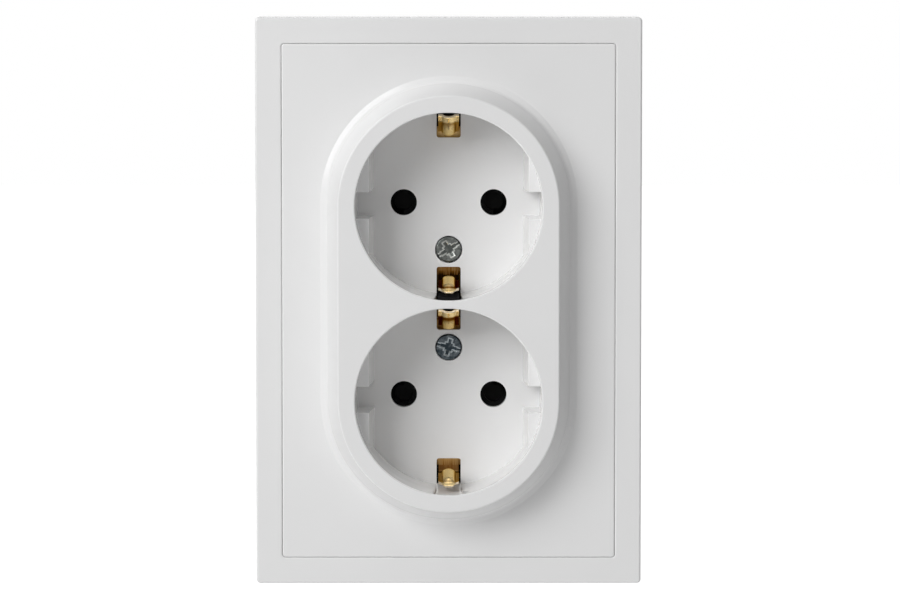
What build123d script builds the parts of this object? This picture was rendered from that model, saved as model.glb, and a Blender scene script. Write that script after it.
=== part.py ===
from build123d import *
import math
import os

# Flush double socket outlet with shuttered pin holes and side earthing contacts, in millimetres.
# The wall is the plane y = 0, the front faces -Y and +Z is up. A height is a distance out of the wall
# towards the room, so a negative height lies inside the wall box.
# A reach is a distance from a well's centre along Z, positive away from the middle of the outlet.

FRONT = Plane.XZ
SECTION = Plane(origin=(0, 0, 0), x_dir=(0, -1, 0), z_dir=(-1, 0, 0))
PLAN = Plane(origin=(0, 0, 0), x_dir=(1, 0, 0), z_dir=(0, 0, -1))
WELLS = {"upper": 1, "lower": -1}
POLES = {"line": -1, "neutral": 1}

# Plug system
PIN_SPACING = 19.0
PIN_HOLE_R = 2.785
WELL_PITCH = 40.8
WELL_R = 19.55
WELL_DEPTH = 17.5
WELL_DRAFT = 0.5
PIN_X = PIN_SPACING / 2
WELL_Z = WELL_PITCH / 2

# Surround frame
FRAME_W = 81.2
FRAME_H = 119.4
FRAME_BORDER = 5.55
FRAME_CORNER_R = 0.9
FRAME_DRAFT = 0.4
FRAME_EDGE_R = 0.45
FRAME_WALL = 1.9
LIP_WALL = 1.5
LEDGE_W = 2.2
LEDGE_T = 1.6

# Centre plate
FACE_H = 11.4
PLATE_GAP = 0.05
PLATE_T = 2.0
PLATE_CORNER_R = 0.6
PLATE_EDGE_R = 0.35
SKIRT_DEPTH = 3.2
SKIRT_T = 1.4
COLLAR_H = 8.4
COLLAR_FACE_R = 23.1
COLLAR_FOOT_R = 27.0
COLLAR_WALL = 1.9
FLARE_H = 0.55
FLARE_TOP_R = 25.6
FLARE_BLEND_R = 0.9
RIM_EDGE_R = 0.45
RIM_T = 2.0
MOUTH_EDGE_R = 0.3
CUP_WALL = 1.6
FLOOR_T = 2.0
RIB_DROP = 5.0
RIB_TOP_X = 16.7
RIB_FOOT_X = 15.8
RIB_SLOT_W = 5.5
RIB_EDGE_R = 0.25

# Earth windows
WINDOW_W = 5.1
WINDOW_REACH = 13.7
WINDOW_CORNER_R = 0.5
WINDOW_LINTEL = 3.5
WINDOW_BACK_T = 0.9
SHUT_OFF_W = 6.3
SHUT_OFF_DEPTH = 10.0
SHUT_OFF_CUT = 0.35

# Cover screws
SCREW_REACH = -10.0
SCREW_HEAD_R = 2.7
SCREW_HEAD_T = 1.5
SCREW_R = 1.5
SCREW_TAIL = 1.2
SCREW_GAP = 0.2
THREAD_GAP = 0.05
SLOT_W = 0.7
SLOT_DEPTH = 0.6
CROSS_W = 0.95
CROSS_SPAN = 3.7
PIT_W = 1.9
SCREW_TURN = {"upper": 32.0, "lower": -15.0}
BOSS_R = 3.3

# Support plate
SUPPORT_GAP = 3.1
SUPPORT_END = 5.4
SUPPORT_T = 1.2
SUPPORT_CORNER_R = 5.0
SUPPORT_LIP = 2.4
SUPPORT_LIP_W = 60.0
FIXING_SPACING = 60.0
FIXING_SLOT_L = 7.0
FIXING_SLOT_W = 4.2

# Housing
BASE_WALL = 1.6
CUP_GAP = 0.45
CUT_OUT_GAP = 0.3
FLANGE_W = 2.5
FLANGE_T = 1.6
EAR_X = 26.8
EAR_Z = 14.0
EAR_R = 3.2
RIVET_R = 1.5
RIVET_HEAD_R = 2.5
RIVET_HEAD_T = 0.8
RIVET_DOME_R = 0.6
RIVET_GAP = 0.05
CHAMBER_DEPTH = 4.7
DECK_T = 2.6
DECK_HOLE_R = 3.1
BASE_DEPTH = 22.8
REAR_T = 2.0
REAR_EDGE_R = 0.6
REAR_LIP = 1.8
REAR_LIP_T = 1.2
REAR_LIP_GAP = 0.15
REAR_SCREW_X = 11.5
REAR_SCREW_Z = 32.5
REAR_SCREW_R = 1.3
REAR_SCREW_L = 8.5
REAR_HEAD_R = 2.6
REAR_HEAD_T = 1.8
POST_R = 3.0
POST_DEPTH = 9.5

# Shutters
SHUTTER_GAP = 0.2
SHUTTER_FOOT_GAP = 0.3
GATE_HALF_W = 3.1
GATE_REACH = 3.3
GATE_LAND = 0.7
GATE_TOE = 0.5
BEAM_TOP_REACH = 1.4
BEAM_DROP = 0.7
TIP_DIMPLE_R = 1.95
TIP_DIMPLE_DEPTH = 0.45
RAIL_T = 1.2
RAIL_LOW_REACH = -4.5
RAIL_TOP_REACH = 10.5
RAIL_DROP = 0.8
GATE_STOP_W = 3.0
GATE_STOP_T = 1.0
GATE_STOP_H = 2.4
SPRING_POST_REACH = 12.0
SPRING_POST_T = 1.2
SPRING_POST_W = 5.2
SPRING_R = 1.7
SPRING_WIRE_R = 0.22
SPRING_TURNS = 5
SPRING_END_GAP = 0.05
PEG_R = 1.1
PEG_L = 1.6

# Earth contacts
BRACKET_T = 0.6
BRACKET_W = 8.0
BRACKET_FLAT_REACH = 15.8
ARM_W = 4.3
ARM_ROOT_REACH = 18.0
ARM_BEND_R = 1.0
ARM_KNEE_DROP = 16.3
ARM_CREST_REACH = 15.8
ARM_CREST_DROP = 9.8
ARM_CREASE_REACH = 17.6
ARM_CREASE_DROP = 5.5
ARM_TIP_REACH = 18.9
ARM_TIP_DROP = 4.1
RIB_W = 2.46
RIB_H = 0.8
RIB_FOOT_REACH = 16.8
RIB_FOOT_DROP = 12.8
ARM_STOP_FOOT_W = 11.6
ARM_STOP_FOOT_T = 3.4
ARM_STOP_T = 2.0
ARM_STOP_DROP = 6.8
ARM_STOP_GAP = 0.3
LINK_T = 0.8
LINK_L = 34.0
LINK_GAP = 0.2
COLLAR_OUT_R = 2.5
COLLAR_L = 2.2
EARTH_RIVET_REACH = -5.9
EARTH_RIVET_R = 1.25

# Pin contacts and terminals
TULIP_IN_R = 2.42
TULIP_T = 0.7
TULIP_SLOT_W = 2.0
TULIP_L = 10.8
TULIP_FLARE = 0.45
BAR_W = 6.6
BAR_T = 0.8
BAR_END = 4.0
TERMINAL_L = 16.0
WALL_T = 0.8
WALL_L = 9.0
CLAMP_T = 0.4
CLAMP_L = 14.0
CLAMP_SLIT_W = 2.4
CLAMP_SPAN = 7.1
CLAMP_APEX_DEPTH = 19.6
CLAMP_HEEL_DEPTH = 11.0
CLAMP_TIP_DEPTH = 13.0
CLAMP_TIP_GAP = 0.3
EARTH_WALL_X = -3.2
PARTITION_T = 1.2
PARTITION_L = 15.0
WIRE_R = 1.6
WIRE_OFFSET = 1.75
WIRE_Z = 4.8
WIRE_TUBE_T = 0.6
WIRE_TUBE_L = 3.0
WIRE_FUNNEL_R = 2.5
WIRE_FUNNEL_DEPTH = 0.9
BUTTON_W = 3.0
BUTTON_L = 4.4
BUTTON_NEAR = 2.9
BUTTON_GAP = 0.15
BUTTON_PROUD = 2.2
BUTTON_EDGE = 0.3
BUTTON_HOOK = 0.9
BUTTON_HOOK_T = 1.0
BUTTON_HOOK_GAP = 0.1
BUTTON_TIP_GAP = 0.3
BUTTON_SLOT_W = 1.0
BUTTON_SLOT_DEPTH = 0.8

# Levels and radii worked out from the sizes above
MOUTH_H = FACE_H + COLLAR_H
FLOOR_H = MOUTH_H - WELL_DEPTH
FLOOR_BACK = FLOOR_H - FLOOR_T
PLATE_BACK = FACE_H - PLATE_T
LEDGE_BACK = PLATE_BACK - LEDGE_T
OPENING_W = FRAME_W - 2 * FRAME_BORDER
OPENING_H = FRAME_H - 2 * FRAME_BORDER
PLATE_W = OPENING_W - 2 * PLATE_GAP
PLATE_H = OPENING_H - 2 * PLATE_GAP
COLLAR_SLOPE = (FLARE_TOP_R - COLLAR_FACE_R) / (COLLAR_H - FLARE_H)
COLLAR_DRAFT = math.degrees(math.atan(COLLAR_SLOPE))
HOLLOW_FOOT_R = FLARE_TOP_R + (PLATE_T + FLARE_H) * COLLAR_SLOPE - COLLAR_WALL
CUP_R = WELL_R + CUP_WALL
SCREW_Z = WELL_Z + SCREW_REACH
SCREW_HOLE_R = SCREW_R + SCREW_GAP
THREAD_HOLE_R = SCREW_R + THREAD_GAP
HEAD_SEAT = FLOOR_H - SCREW_HEAD_T
DECK_FRONT = FLOOR_BACK - CHAMBER_DEPTH
DECK_BACK = DECK_FRONT - DECK_T
LINK_FRONT = DECK_FRONT - BRACKET_T
LINK_BACK = LINK_FRONT - LINK_T
BASE_IN_R = CUP_R + CUP_GAP
BASE_OUT_R = BASE_IN_R + BASE_WALL
CUT_OUT_R = BASE_OUT_R + CUT_OUT_GAP
FLANGE_R = CUT_OUT_R + FLANGE_W
FLANGE_FRONT = SUPPORT_T + FLANGE_T
SUPPORT_W = FRAME_W - 2 * FRAME_WALL - 2 * SUPPORT_GAP
SUPPORT_H = WELL_PITCH + 2 * FLANGE_R + 2 * SUPPORT_END
BASE_BACK = -BASE_DEPTH
REAR_BACK = BASE_BACK - REAR_T
SHUTTER_FRONT = FLOOR_BACK - SHUTTER_GAP
SHUTTER_BACK = DECK_FRONT + SHUTTER_FOOT_GAP
SHUTTER_HALF_W = PIN_X + GATE_HALF_W
SPRING_H = (SHUTTER_FRONT - BEAM_DROP + SHUTTER_BACK) / 2
SPRING_L = SPRING_POST_REACH - BEAM_TOP_REACH - 2 * SPRING_END_GAP
TULIP_BACK = DECK_BACK - TULIP_L
BAR_BACK = TULIP_BACK - BAR_T
POLE_WALL_X = BASE_IN_R - CLAMP_SPAN - CLAMP_T / 2
EARTH_STOP_X = EARTH_WALL_X + CLAMP_SPAN + CLAMP_T / 2
CLAMP_RUN = CLAMP_SPAN - CLAMP_TIP_GAP - CLAMP_T
CLAMP_SLOPE = (CLAMP_APEX_DEPTH - CLAMP_TIP_DEPTH) / CLAMP_RUN
TERMINALS = {
    "line": (-POLE_WALL_X, -1),
    "neutral": (POLE_WALL_X, 1),
    "earth": (EARTH_WALL_X, 1),
}

os.makedirs("parts", exist_ok=True)

# Surround frame: a drafted hollow rim with a ledge that the centre plate traps against the wall
with BuildPart() as cover_frame:
    with BuildSketch(FRONT):
        RectangleRounded(FRAME_W, FRAME_H, FRAME_CORNER_R)
    extrude(amount=FACE_H, taper=FRAME_DRAFT)
    fillet(cover_frame.faces().sort_by(Axis.Y)[0].edges(), FRAME_EDGE_R)
    with BuildSketch(FRONT):
        Rectangle(FRAME_W - 2 * FRAME_WALL, FRAME_H - 2 * FRAME_WALL)
    extrude(amount=LEDGE_BACK, mode=Mode.SUBTRACT)
    with BuildSketch(FRONT.offset(LEDGE_BACK)):
        Rectangle(FRAME_W - 2 * FRAME_WALL, FRAME_H - 2 * FRAME_WALL)
        Rectangle(OPENING_W + 2 * LIP_WALL, OPENING_H + 2 * LIP_WALL, mode=Mode.SUBTRACT)
    extrude(amount=FACE_H - FRAME_WALL - LEDGE_BACK, mode=Mode.SUBTRACT)
    with BuildSketch(FRONT):
        Rectangle(OPENING_W - 2 * LEDGE_W, OPENING_H - 2 * LEDGE_W)
    extrude(amount=FACE_H, mode=Mode.SUBTRACT)
    with BuildSketch(FRONT.offset(PLATE_BACK)):
        RectangleRounded(OPENING_W, OPENING_H, PLATE_CORNER_R + PLATE_GAP)
    extrude(amount=PLATE_T, mode=Mode.SUBTRACT)
    fillet(cover_frame.faces().sort_by(Axis.Y)[0].inner_wires()[0].edges(), PLATE_EDGE_R)
cover_frame.part.label = "cover_frame"
export_step(cover_frame.part, "parts/cover_frame.step")

# Guide ribs: drafted chord blocks at both sides of each well, parted by the plug's guide slot
with BuildPart() as guide_ribs:
    with BuildSketch(PLAN):
        for side in (-1, 1):
            with BuildLine():
                Polyline(
                    (side * RIB_FOOT_X, FLOOR_H),
                    (side * RIB_TOP_X, MOUTH_H - RIB_DROP),
                    (side * CUP_R, MOUTH_H - RIB_DROP),
                    (side * CUP_R, FLOOR_H),
                    close=True,
                )
            make_face()
    extrude(amount=WELL_R, both=True)
    with BuildSketch(FRONT.offset(FLOOR_H)):
        Circle(WELL_R + CUP_WALL / 2)
    extrude(amount=WELL_DEPTH, mode=Mode.INTERSECT)
    with BuildSketch(FRONT.offset(FLOOR_H)):
        Rectangle(2 * CUP_R, RIB_SLOT_W)
    extrude(amount=WELL_DEPTH, mode=Mode.SUBTRACT)
    rib_tops = guide_ribs.faces().filter_by(Axis.Y).group_by(Axis.Y)[0]
    fillet(rib_tops.edges().filter_by(GeomType.LINE), RIB_EDGE_R)

# Centre plate: one thin-walled moulding of plate, flared collar, two cups, skirt, bosses and spring posts
with BuildPart() as centre_plate:
    with BuildSketch(FRONT.offset(PLATE_BACK)):
        RectangleRounded(PLATE_W, PLATE_H, PLATE_CORNER_R)
    extrude(amount=PLATE_T)
    fillet(centre_plate.faces().sort_by(Axis.Y)[0].edges(), PLATE_EDGE_R)
    with BuildSketch(FRONT.offset(FACE_H)):
        SlotCenterToCenter(WELL_PITCH, 2 * COLLAR_FOOT_R, rotation=90)
    with BuildSketch(FRONT.offset(FACE_H + FLARE_H)):
        SlotCenterToCenter(WELL_PITCH, 2 * FLARE_TOP_R, rotation=90)
    loft(ruled=True)
    with BuildSketch(FRONT.offset(FACE_H + FLARE_H)):
        SlotCenterToCenter(WELL_PITCH, 2 * FLARE_TOP_R, rotation=90)
    extrude(amount=COLLAR_H - FLARE_H, taper=COLLAR_DRAFT)
    flare_h = FACE_H + FLARE_H
    flare_edges = centre_plate.edges().filter_by_position(Axis.Y, -flare_h, -flare_h)
    fillet(flare_edges, FLARE_BLEND_R)
    fillet(centre_plate.faces().sort_by(Axis.Y)[0].edges(), RIM_EDGE_R)
    with BuildSketch(FRONT.offset(PLATE_BACK)):
        SlotCenterToCenter(WELL_PITCH, 2 * HOLLOW_FOOT_R, rotation=90)
    extrude(amount=PLATE_T + COLLAR_H - RIM_T, taper=COLLAR_DRAFT, mode=Mode.SUBTRACT)
    with BuildSketch(FRONT.offset(FLOOR_BACK)):
        with GridLocations(0, WELL_PITCH, 1, 2):
            Circle(CUP_R)
    extrude(amount=MOUTH_H - RIM_T - FLOOR_BACK)
    with BuildSketch(FRONT.offset(MOUTH_H)):
        with GridLocations(0, WELL_PITCH, 1, 2):
            Circle(WELL_R)
    extrude(amount=-WELL_DEPTH, taper=WELL_DRAFT, mode=Mode.SUBTRACT)
    mouths = centre_plate.faces().sort_by(Axis.Y)[0].inner_wires()
    fillet(mouths.edges(), MOUTH_EDGE_R)
    for side in WELLS.values():
        add(guide_ribs.part.moved(Location((0, 0, side * WELL_Z))))
    with BuildSketch(FRONT.offset(PLATE_BACK)):
        Rectangle(OPENING_W - 2 * LEDGE_W - PLATE_GAP, OPENING_H - 2 * LEDGE_W - PLATE_GAP)
        Rectangle(
            OPENING_W - 2 * LEDGE_W - PLATE_GAP - 2 * SKIRT_T,
            OPENING_H - 2 * LEDGE_W - PLATE_GAP - 2 * SKIRT_T,
            mode=Mode.SUBTRACT,
        )
    extrude(amount=-SKIRT_DEPTH)
    with BuildSketch(FRONT.offset(FLOOR_BACK)):
        with GridLocations(0, 2 * SCREW_Z, 1, 2):
            Circle(BOSS_R)
        with GridLocations(0, 2 * (WELL_Z + SPRING_POST_REACH + SPRING_POST_T / 2), 1, 2):
            Rectangle(SPRING_POST_W, SPRING_POST_T)
    extrude(amount=-CHAMBER_DEPTH)
    with BuildSketch(FRONT.offset(FLOOR_H)):
        with GridLocations(PIN_SPACING, WELL_PITCH, 2, 2):
            Circle(PIN_HOLE_R)
    extrude(amount=-FLOOR_T, mode=Mode.SUBTRACT)
    with BuildSketch(FRONT.offset(FLOOR_H)):
        with GridLocations(0, 2 * SCREW_Z, 1, 2):
            Circle(SCREW_HEAD_R + SCREW_GAP)
    extrude(amount=-SCREW_HEAD_T, mode=Mode.SUBTRACT)
    with BuildSketch(FRONT.offset(FLOOR_H)):
        with GridLocations(0, 2 * SCREW_Z, 1, 2):
            Circle(SCREW_HOLE_R)
    extrude(amount=DECK_FRONT - FLOOR_H, mode=Mode.SUBTRACT)
    with BuildSketch(FRONT.offset(MOUTH_H - WINDOW_LINTEL)):
        for way, window_end in ((1, CUP_R - WINDOW_BACK_T), (-1, CUP_R + CUP_GAP)):
            window_l = window_end - WINDOW_REACH
            for side in WELLS.values():
                with Locations((0, side * (WELL_Z + way * (WINDOW_REACH + window_l / 2)))):
                    RectangleRounded(WINDOW_W, window_l, WINDOW_CORNER_R)
    extrude(amount=FLOOR_BACK - MOUTH_H + WINDOW_LINTEL, mode=Mode.SUBTRACT)
    with BuildSketch(PLAN):
        with BuildLine():
            Polyline(
                (-SHUT_OFF_W / 2, MOUTH_H - MOUTH_EDGE_R),
                (SHUT_OFF_W / 2, MOUTH_H - MOUTH_EDGE_R),
                (WINDOW_W / 2, MOUTH_H - SHUT_OFF_DEPTH),
                (-WINDOW_W / 2, MOUTH_H - SHUT_OFF_DEPTH),
                close=True,
            )
        make_face()
    shut_off = extrude(amount=WELL_R + SHUT_OFF_CUT, both=True, mode=Mode.PRIVATE)
    for side in WELLS.values():
        add(shut_off.moved(Location((0, 0, side * WELL_Z))), mode=Mode.SUBTRACT)
centre_plate.part.label = "centre_plate"
export_step(centre_plate.part, "parts/centre_plate.step")

# Cover screws: flat heads with a slot and a cross recess, threaded into the earth link
for well, side in WELLS.items():
    with BuildPart() as cover_screw:
        with BuildSketch(FRONT.offset(HEAD_SEAT)):
            with Locations((0, side * SCREW_Z)):
                Circle(SCREW_HEAD_R)
        extrude(amount=SCREW_HEAD_T)
        chamfer(cover_screw.faces().sort_by(Axis.Y)[0].edges(), SLOT_DEPTH / 3)
        with BuildSketch(FRONT.offset(HEAD_SEAT)):
            with Locations((0, side * SCREW_Z)):
                Circle(SCREW_R)
        extrude(amount=LINK_BACK - COLLAR_L - SCREW_TAIL - HEAD_SEAT)
        with BuildSketch(FRONT.offset(FLOOR_H)):
            with Locations(Location((0, side * SCREW_Z), SCREW_TURN[well])):
                Rectangle(2 * SCREW_HEAD_R, SLOT_W)
                Rectangle(CROSS_SPAN, CROSS_W)
                Rectangle(CROSS_W, CROSS_SPAN)
                Rectangle(PIT_W, PIT_W)
        extrude(amount=-SLOT_DEPTH, mode=Mode.SUBTRACT)
    cover_screw.part.label = f"cover_screw_{well}"
    export_step(cover_screw.part, f"parts/cover_screw_{well}.step")

# Support plate: pressed steel sheet with the housing cut-out, two box-screw slots and folded end lips
with BuildPart() as support_plate:
    with BuildSketch(FRONT):
        RectangleRounded(SUPPORT_W, SUPPORT_H, SUPPORT_CORNER_R)
        SlotCenterToCenter(WELL_PITCH, 2 * CUT_OUT_R, rotation=90, mode=Mode.SUBTRACT)
        with GridLocations(FIXING_SPACING, 0, 2, 1):
            SlotOverall(FIXING_SLOT_L, FIXING_SLOT_W, mode=Mode.SUBTRACT)
        with GridLocations(2 * EAR_X, 2 * EAR_Z, 2, 2):
            Circle(RIVET_R + RIVET_GAP, mode=Mode.SUBTRACT)
    extrude(amount=SUPPORT_T)
    with BuildSketch(FRONT.offset(SUPPORT_T)):
        with GridLocations(0, SUPPORT_H - SUPPORT_T, 1, 2):
            Rectangle(SUPPORT_LIP_W, SUPPORT_T)
    extrude(amount=SUPPORT_LIP)
support_plate.part.label = "support_plate"
export_step(support_plate.part, "parts/support_plate.step")

# Housing: a deep oval cup with a deck that parts the shutter chamber from the contact chamber, and a stop
# that stands between the two inner earth arms
with BuildPart() as socket_base:
    with BuildSketch(FRONT.offset(BASE_BACK)):
        SlotCenterToCenter(WELL_PITCH, 2 * BASE_OUT_R, rotation=90)
    extrude(amount=FLANGE_FRONT - BASE_BACK)
    with BuildSketch(FRONT.offset(SUPPORT_T)):
        SlotCenterToCenter(WELL_PITCH, 2 * FLANGE_R, rotation=90)
        for way in (-1, 1):
            with Locations((0, way * EAR_Z)):
                SlotCenterToCenter(2 * EAR_X, 2 * EAR_R)
    extrude(amount=FLANGE_T)
    with BuildSketch(FRONT.offset(DECK_FRONT)):
        SlotCenterToCenter(WELL_PITCH, 2 * BASE_IN_R, rotation=90)
    extrude(amount=FLANGE_FRONT - DECK_FRONT, mode=Mode.SUBTRACT)
    with BuildSketch(FRONT.offset(DECK_BACK)):
        SlotCenterToCenter(WELL_PITCH, 2 * BASE_IN_R, rotation=90)
    extrude(amount=BASE_BACK - DECK_BACK, mode=Mode.SUBTRACT)
    with BuildSketch(FRONT.offset(SUPPORT_T)):
        with GridLocations(2 * EAR_X, 2 * EAR_Z, 2, 2):
            Circle(RIVET_R + RIVET_GAP)
    extrude(amount=FLANGE_T, mode=Mode.SUBTRACT)
    with BuildSketch(FRONT.offset(DECK_FRONT)):
        with GridLocations(PIN_SPACING, WELL_PITCH, 2, 2):
            Circle(DECK_HOLE_R)
        with GridLocations(0, 2 * SCREW_Z, 1, 2):
            Circle(COLLAR_OUT_R + LINK_GAP)
        with Locations((EARTH_WALL_X - WALL_T / 2, 0)):
            Rectangle(WALL_T + 2 * LINK_GAP, TERMINAL_L + 2 * LINK_GAP)
    extrude(amount=-DECK_T, mode=Mode.SUBTRACT)
    with BuildSketch(FRONT.offset(DECK_FRONT)):
        Rectangle(BRACKET_W + 2 * LINK_GAP, LINK_L + 2 * LINK_GAP)
    extrude(amount=LINK_BACK - DECK_FRONT, mode=Mode.SUBTRACT)
    channel_reach = ARM_ROOT_REACH + BRACKET_T
    with BuildSketch(FRONT.offset(DECK_FRONT)):
        with GridLocations(0, WELL_PITCH, 1, 2):
            Rectangle(BRACKET_W + 2 * LINK_GAP, 2 * channel_reach)
    extrude(amount=-BRACKET_T, mode=Mode.SUBTRACT)
    rail_x = SHUTTER_HALF_W + SHUTTER_GAP + RAIL_T / 2
    rail_l = RAIL_TOP_REACH - RAIL_LOW_REACH
    with BuildSketch(FRONT.offset(DECK_FRONT)):
        for side in WELLS.values():
            with Locations((0, side * (WELL_Z + (RAIL_TOP_REACH + RAIL_LOW_REACH) / 2))):
                with GridLocations(2 * rail_x, 0, 2, 1):
                    Rectangle(RAIL_T, rail_l)
    extrude(amount=CHAMBER_DEPTH - RAIL_DROP)
    with BuildSketch(FRONT.offset(DECK_FRONT)):
        stop_reach = GATE_REACH + SHUTTER_GAP + GATE_STOP_T / 2
        with GridLocations(PIN_SPACING, 2 * (WELL_Z - stop_reach), 2, 2):
            Rectangle(GATE_STOP_W, GATE_STOP_T)
    extrude(amount=GATE_STOP_H)
    with BuildSketch(FRONT.offset(DECK_FRONT)):
        Rectangle(ARM_STOP_FOOT_W, ARM_STOP_FOOT_T)
    extrude(amount=CHAMBER_DEPTH - ARM_STOP_GAP)
    with BuildSketch(FRONT.offset(DECK_FRONT)):
        Rectangle(WINDOW_W - 2 * ARM_STOP_GAP, ARM_STOP_T)
    extrude(amount=MOUTH_H - ARM_STOP_DROP - DECK_FRONT)
    with BuildSketch(FRONT.offset(DECK_BACK)):
        with GridLocations(2 * REAR_SCREW_X, 2 * REAR_SCREW_Z, 2, 2):
            Circle(POST_R)
    extrude(amount=BASE_BACK - DECK_BACK)
    with BuildSketch(FRONT.offset(DECK_BACK)):
        with Locations((EARTH_STOP_X + PARTITION_T / 2, 0)):
            Rectangle(PARTITION_T, PARTITION_L)
    extrude(amount=-CLAMP_APEX_DEPTH - DECK_BACK)
    with BuildSketch(FRONT.offset(BASE_BACK)):
        with GridLocations(2 * REAR_SCREW_X, 2 * REAR_SCREW_Z, 2, 2):
            Circle(REAR_SCREW_R + THREAD_GAP)
    extrude(amount=POST_DEPTH, mode=Mode.SUBTRACT)
socket_base.part.label = "socket_base"
export_step(socket_base.part, "parts/socket_base.step")

# Housing rivets: headed at the front of the ears and closed flush with the back of the support plate
with BuildPart() as base_rivets:
    with BuildSketch(FRONT):
        with GridLocations(2 * EAR_X, 2 * EAR_Z, 2, 2):
            Circle(RIVET_R)
    extrude(amount=FLANGE_FRONT)
    with BuildSketch(FRONT.offset(FLANGE_FRONT)):
        with GridLocations(2 * EAR_X, 2 * EAR_Z, 2, 2):
            Circle(RIVET_HEAD_R)
    extrude(amount=RIVET_HEAD_T)
    fillet(base_rivets.faces().group_by(Axis.Y)[0].edges(), RIVET_DOME_R)
base_rivets.part.label = "base_rivets"
export_step(base_rivets.part, "parts/base_rivets.step")

# Rear cover: closes the contact chamber and carries the wire funnels, button slots and contact posts
with BuildPart() as rear_cover:
    with BuildSketch(FRONT.offset(BASE_BACK)):
        SlotCenterToCenter(WELL_PITCH, 2 * BASE_OUT_R, rotation=90)
    extrude(amount=-REAR_T)
    fillet(rear_cover.faces().sort_by(Axis.Y)[-1].edges(), REAR_EDGE_R)
    with BuildSketch(FRONT.offset(BASE_BACK)):
        SlotCenterToCenter(WELL_PITCH, 2 * (BASE_IN_R - REAR_LIP_GAP), rotation=90)
        SlotCenterToCenter(
            WELL_PITCH, 2 * (BASE_IN_R - REAR_LIP_GAP - REAR_LIP_T), rotation=90, mode=Mode.SUBTRACT
        )
        Rectangle(2 * BASE_OUT_R, WELL_PITCH, mode=Mode.SUBTRACT)
    extrude(amount=REAR_LIP)
    with BuildSketch(FRONT.offset(BASE_BACK)):
        with GridLocations(PIN_SPACING, WELL_PITCH, 2, 2):
            Circle(TULIP_IN_R)
    extrude(amount=BAR_BACK - BASE_BACK)
    with BuildSketch(FRONT.offset(BASE_BACK)):
        for wall_x, way in TERMINALS.values():
            with Locations((wall_x + way * WIRE_OFFSET, 0)):
                with GridLocations(0, 2 * WIRE_Z, 1, 2):
                    Circle(WIRE_R + WIRE_TUBE_T)
    extrude(amount=WIRE_TUBE_L)
    with BuildSketch(FRONT.offset(REAR_BACK)):
        for wall_x, way in TERMINALS.values():
            with Locations((wall_x + way * WIRE_OFFSET, 0)):
                with GridLocations(0, 2 * WIRE_Z, 1, 2):
                    Circle(WIRE_R)
    extrude(amount=REAR_T + WIRE_TUBE_L, mode=Mode.SUBTRACT)
    funnel_taper = math.degrees(math.atan((WIRE_FUNNEL_R - WIRE_R) / WIRE_FUNNEL_DEPTH))
    with BuildSketch(FRONT.offset(REAR_BACK)):
        for wall_x, way in TERMINALS.values():
            with Locations((wall_x + way * WIRE_OFFSET, 0)):
                with GridLocations(0, 2 * WIRE_Z, 1, 2):
                    Circle(WIRE_FUNNEL_R)
    extrude(amount=WIRE_FUNNEL_DEPTH, taper=funnel_taper, mode=Mode.SUBTRACT)
    with BuildSketch(FRONT.offset(REAR_BACK)):
        for wall_x, way in TERMINALS.values():
            with Locations((wall_x + way * (BUTTON_NEAR + BUTTON_W / 2), 0)):
                Rectangle(BUTTON_W + 2 * BUTTON_GAP, BUTTON_L + 2 * BUTTON_GAP)
        with GridLocations(2 * REAR_SCREW_X, 2 * REAR_SCREW_Z, 2, 2):
            Circle(REAR_SCREW_R + SCREW_GAP)
    extrude(amount=REAR_T, mode=Mode.SUBTRACT)
rear_cover.part.label = "rear_cover"
export_step(rear_cover.part, "parts/rear_cover.step")

# Rear cover screws: pan heads behind the cover, shanks in the housing posts
with BuildPart() as rear_cover_screws:
    with BuildSketch(FRONT.offset(REAR_BACK)):
        with GridLocations(2 * REAR_SCREW_X, 2 * REAR_SCREW_Z, 2, 2):
            Circle(REAR_HEAD_R)
    extrude(amount=-REAR_HEAD_T)
    fillet(rear_cover_screws.faces().group_by(Axis.Y)[-1].edges(), REAR_HEAD_T / 3)
    with BuildSketch(FRONT.offset(REAR_BACK)):
        with GridLocations(2 * REAR_SCREW_X, 2 * REAR_SCREW_Z, 2, 2):
            Circle(REAR_SCREW_R)
    extrude(amount=REAR_SCREW_L)
    with BuildSketch(FRONT.offset(REAR_BACK - REAR_HEAD_T)):
        with GridLocations(2 * REAR_SCREW_X, 2 * REAR_SCREW_Z, 2, 2):
            Rectangle(CROSS_SPAN, CROSS_W)
            Rectangle(CROSS_W, CROSS_SPAN)
    extrude(amount=SLOT_DEPTH, mode=Mode.SUBTRACT)
rear_cover_screws.part.label = "rear_cover_screws"
export_step(rear_cover_screws.part, "parts/rear_cover_screws.step")

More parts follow.
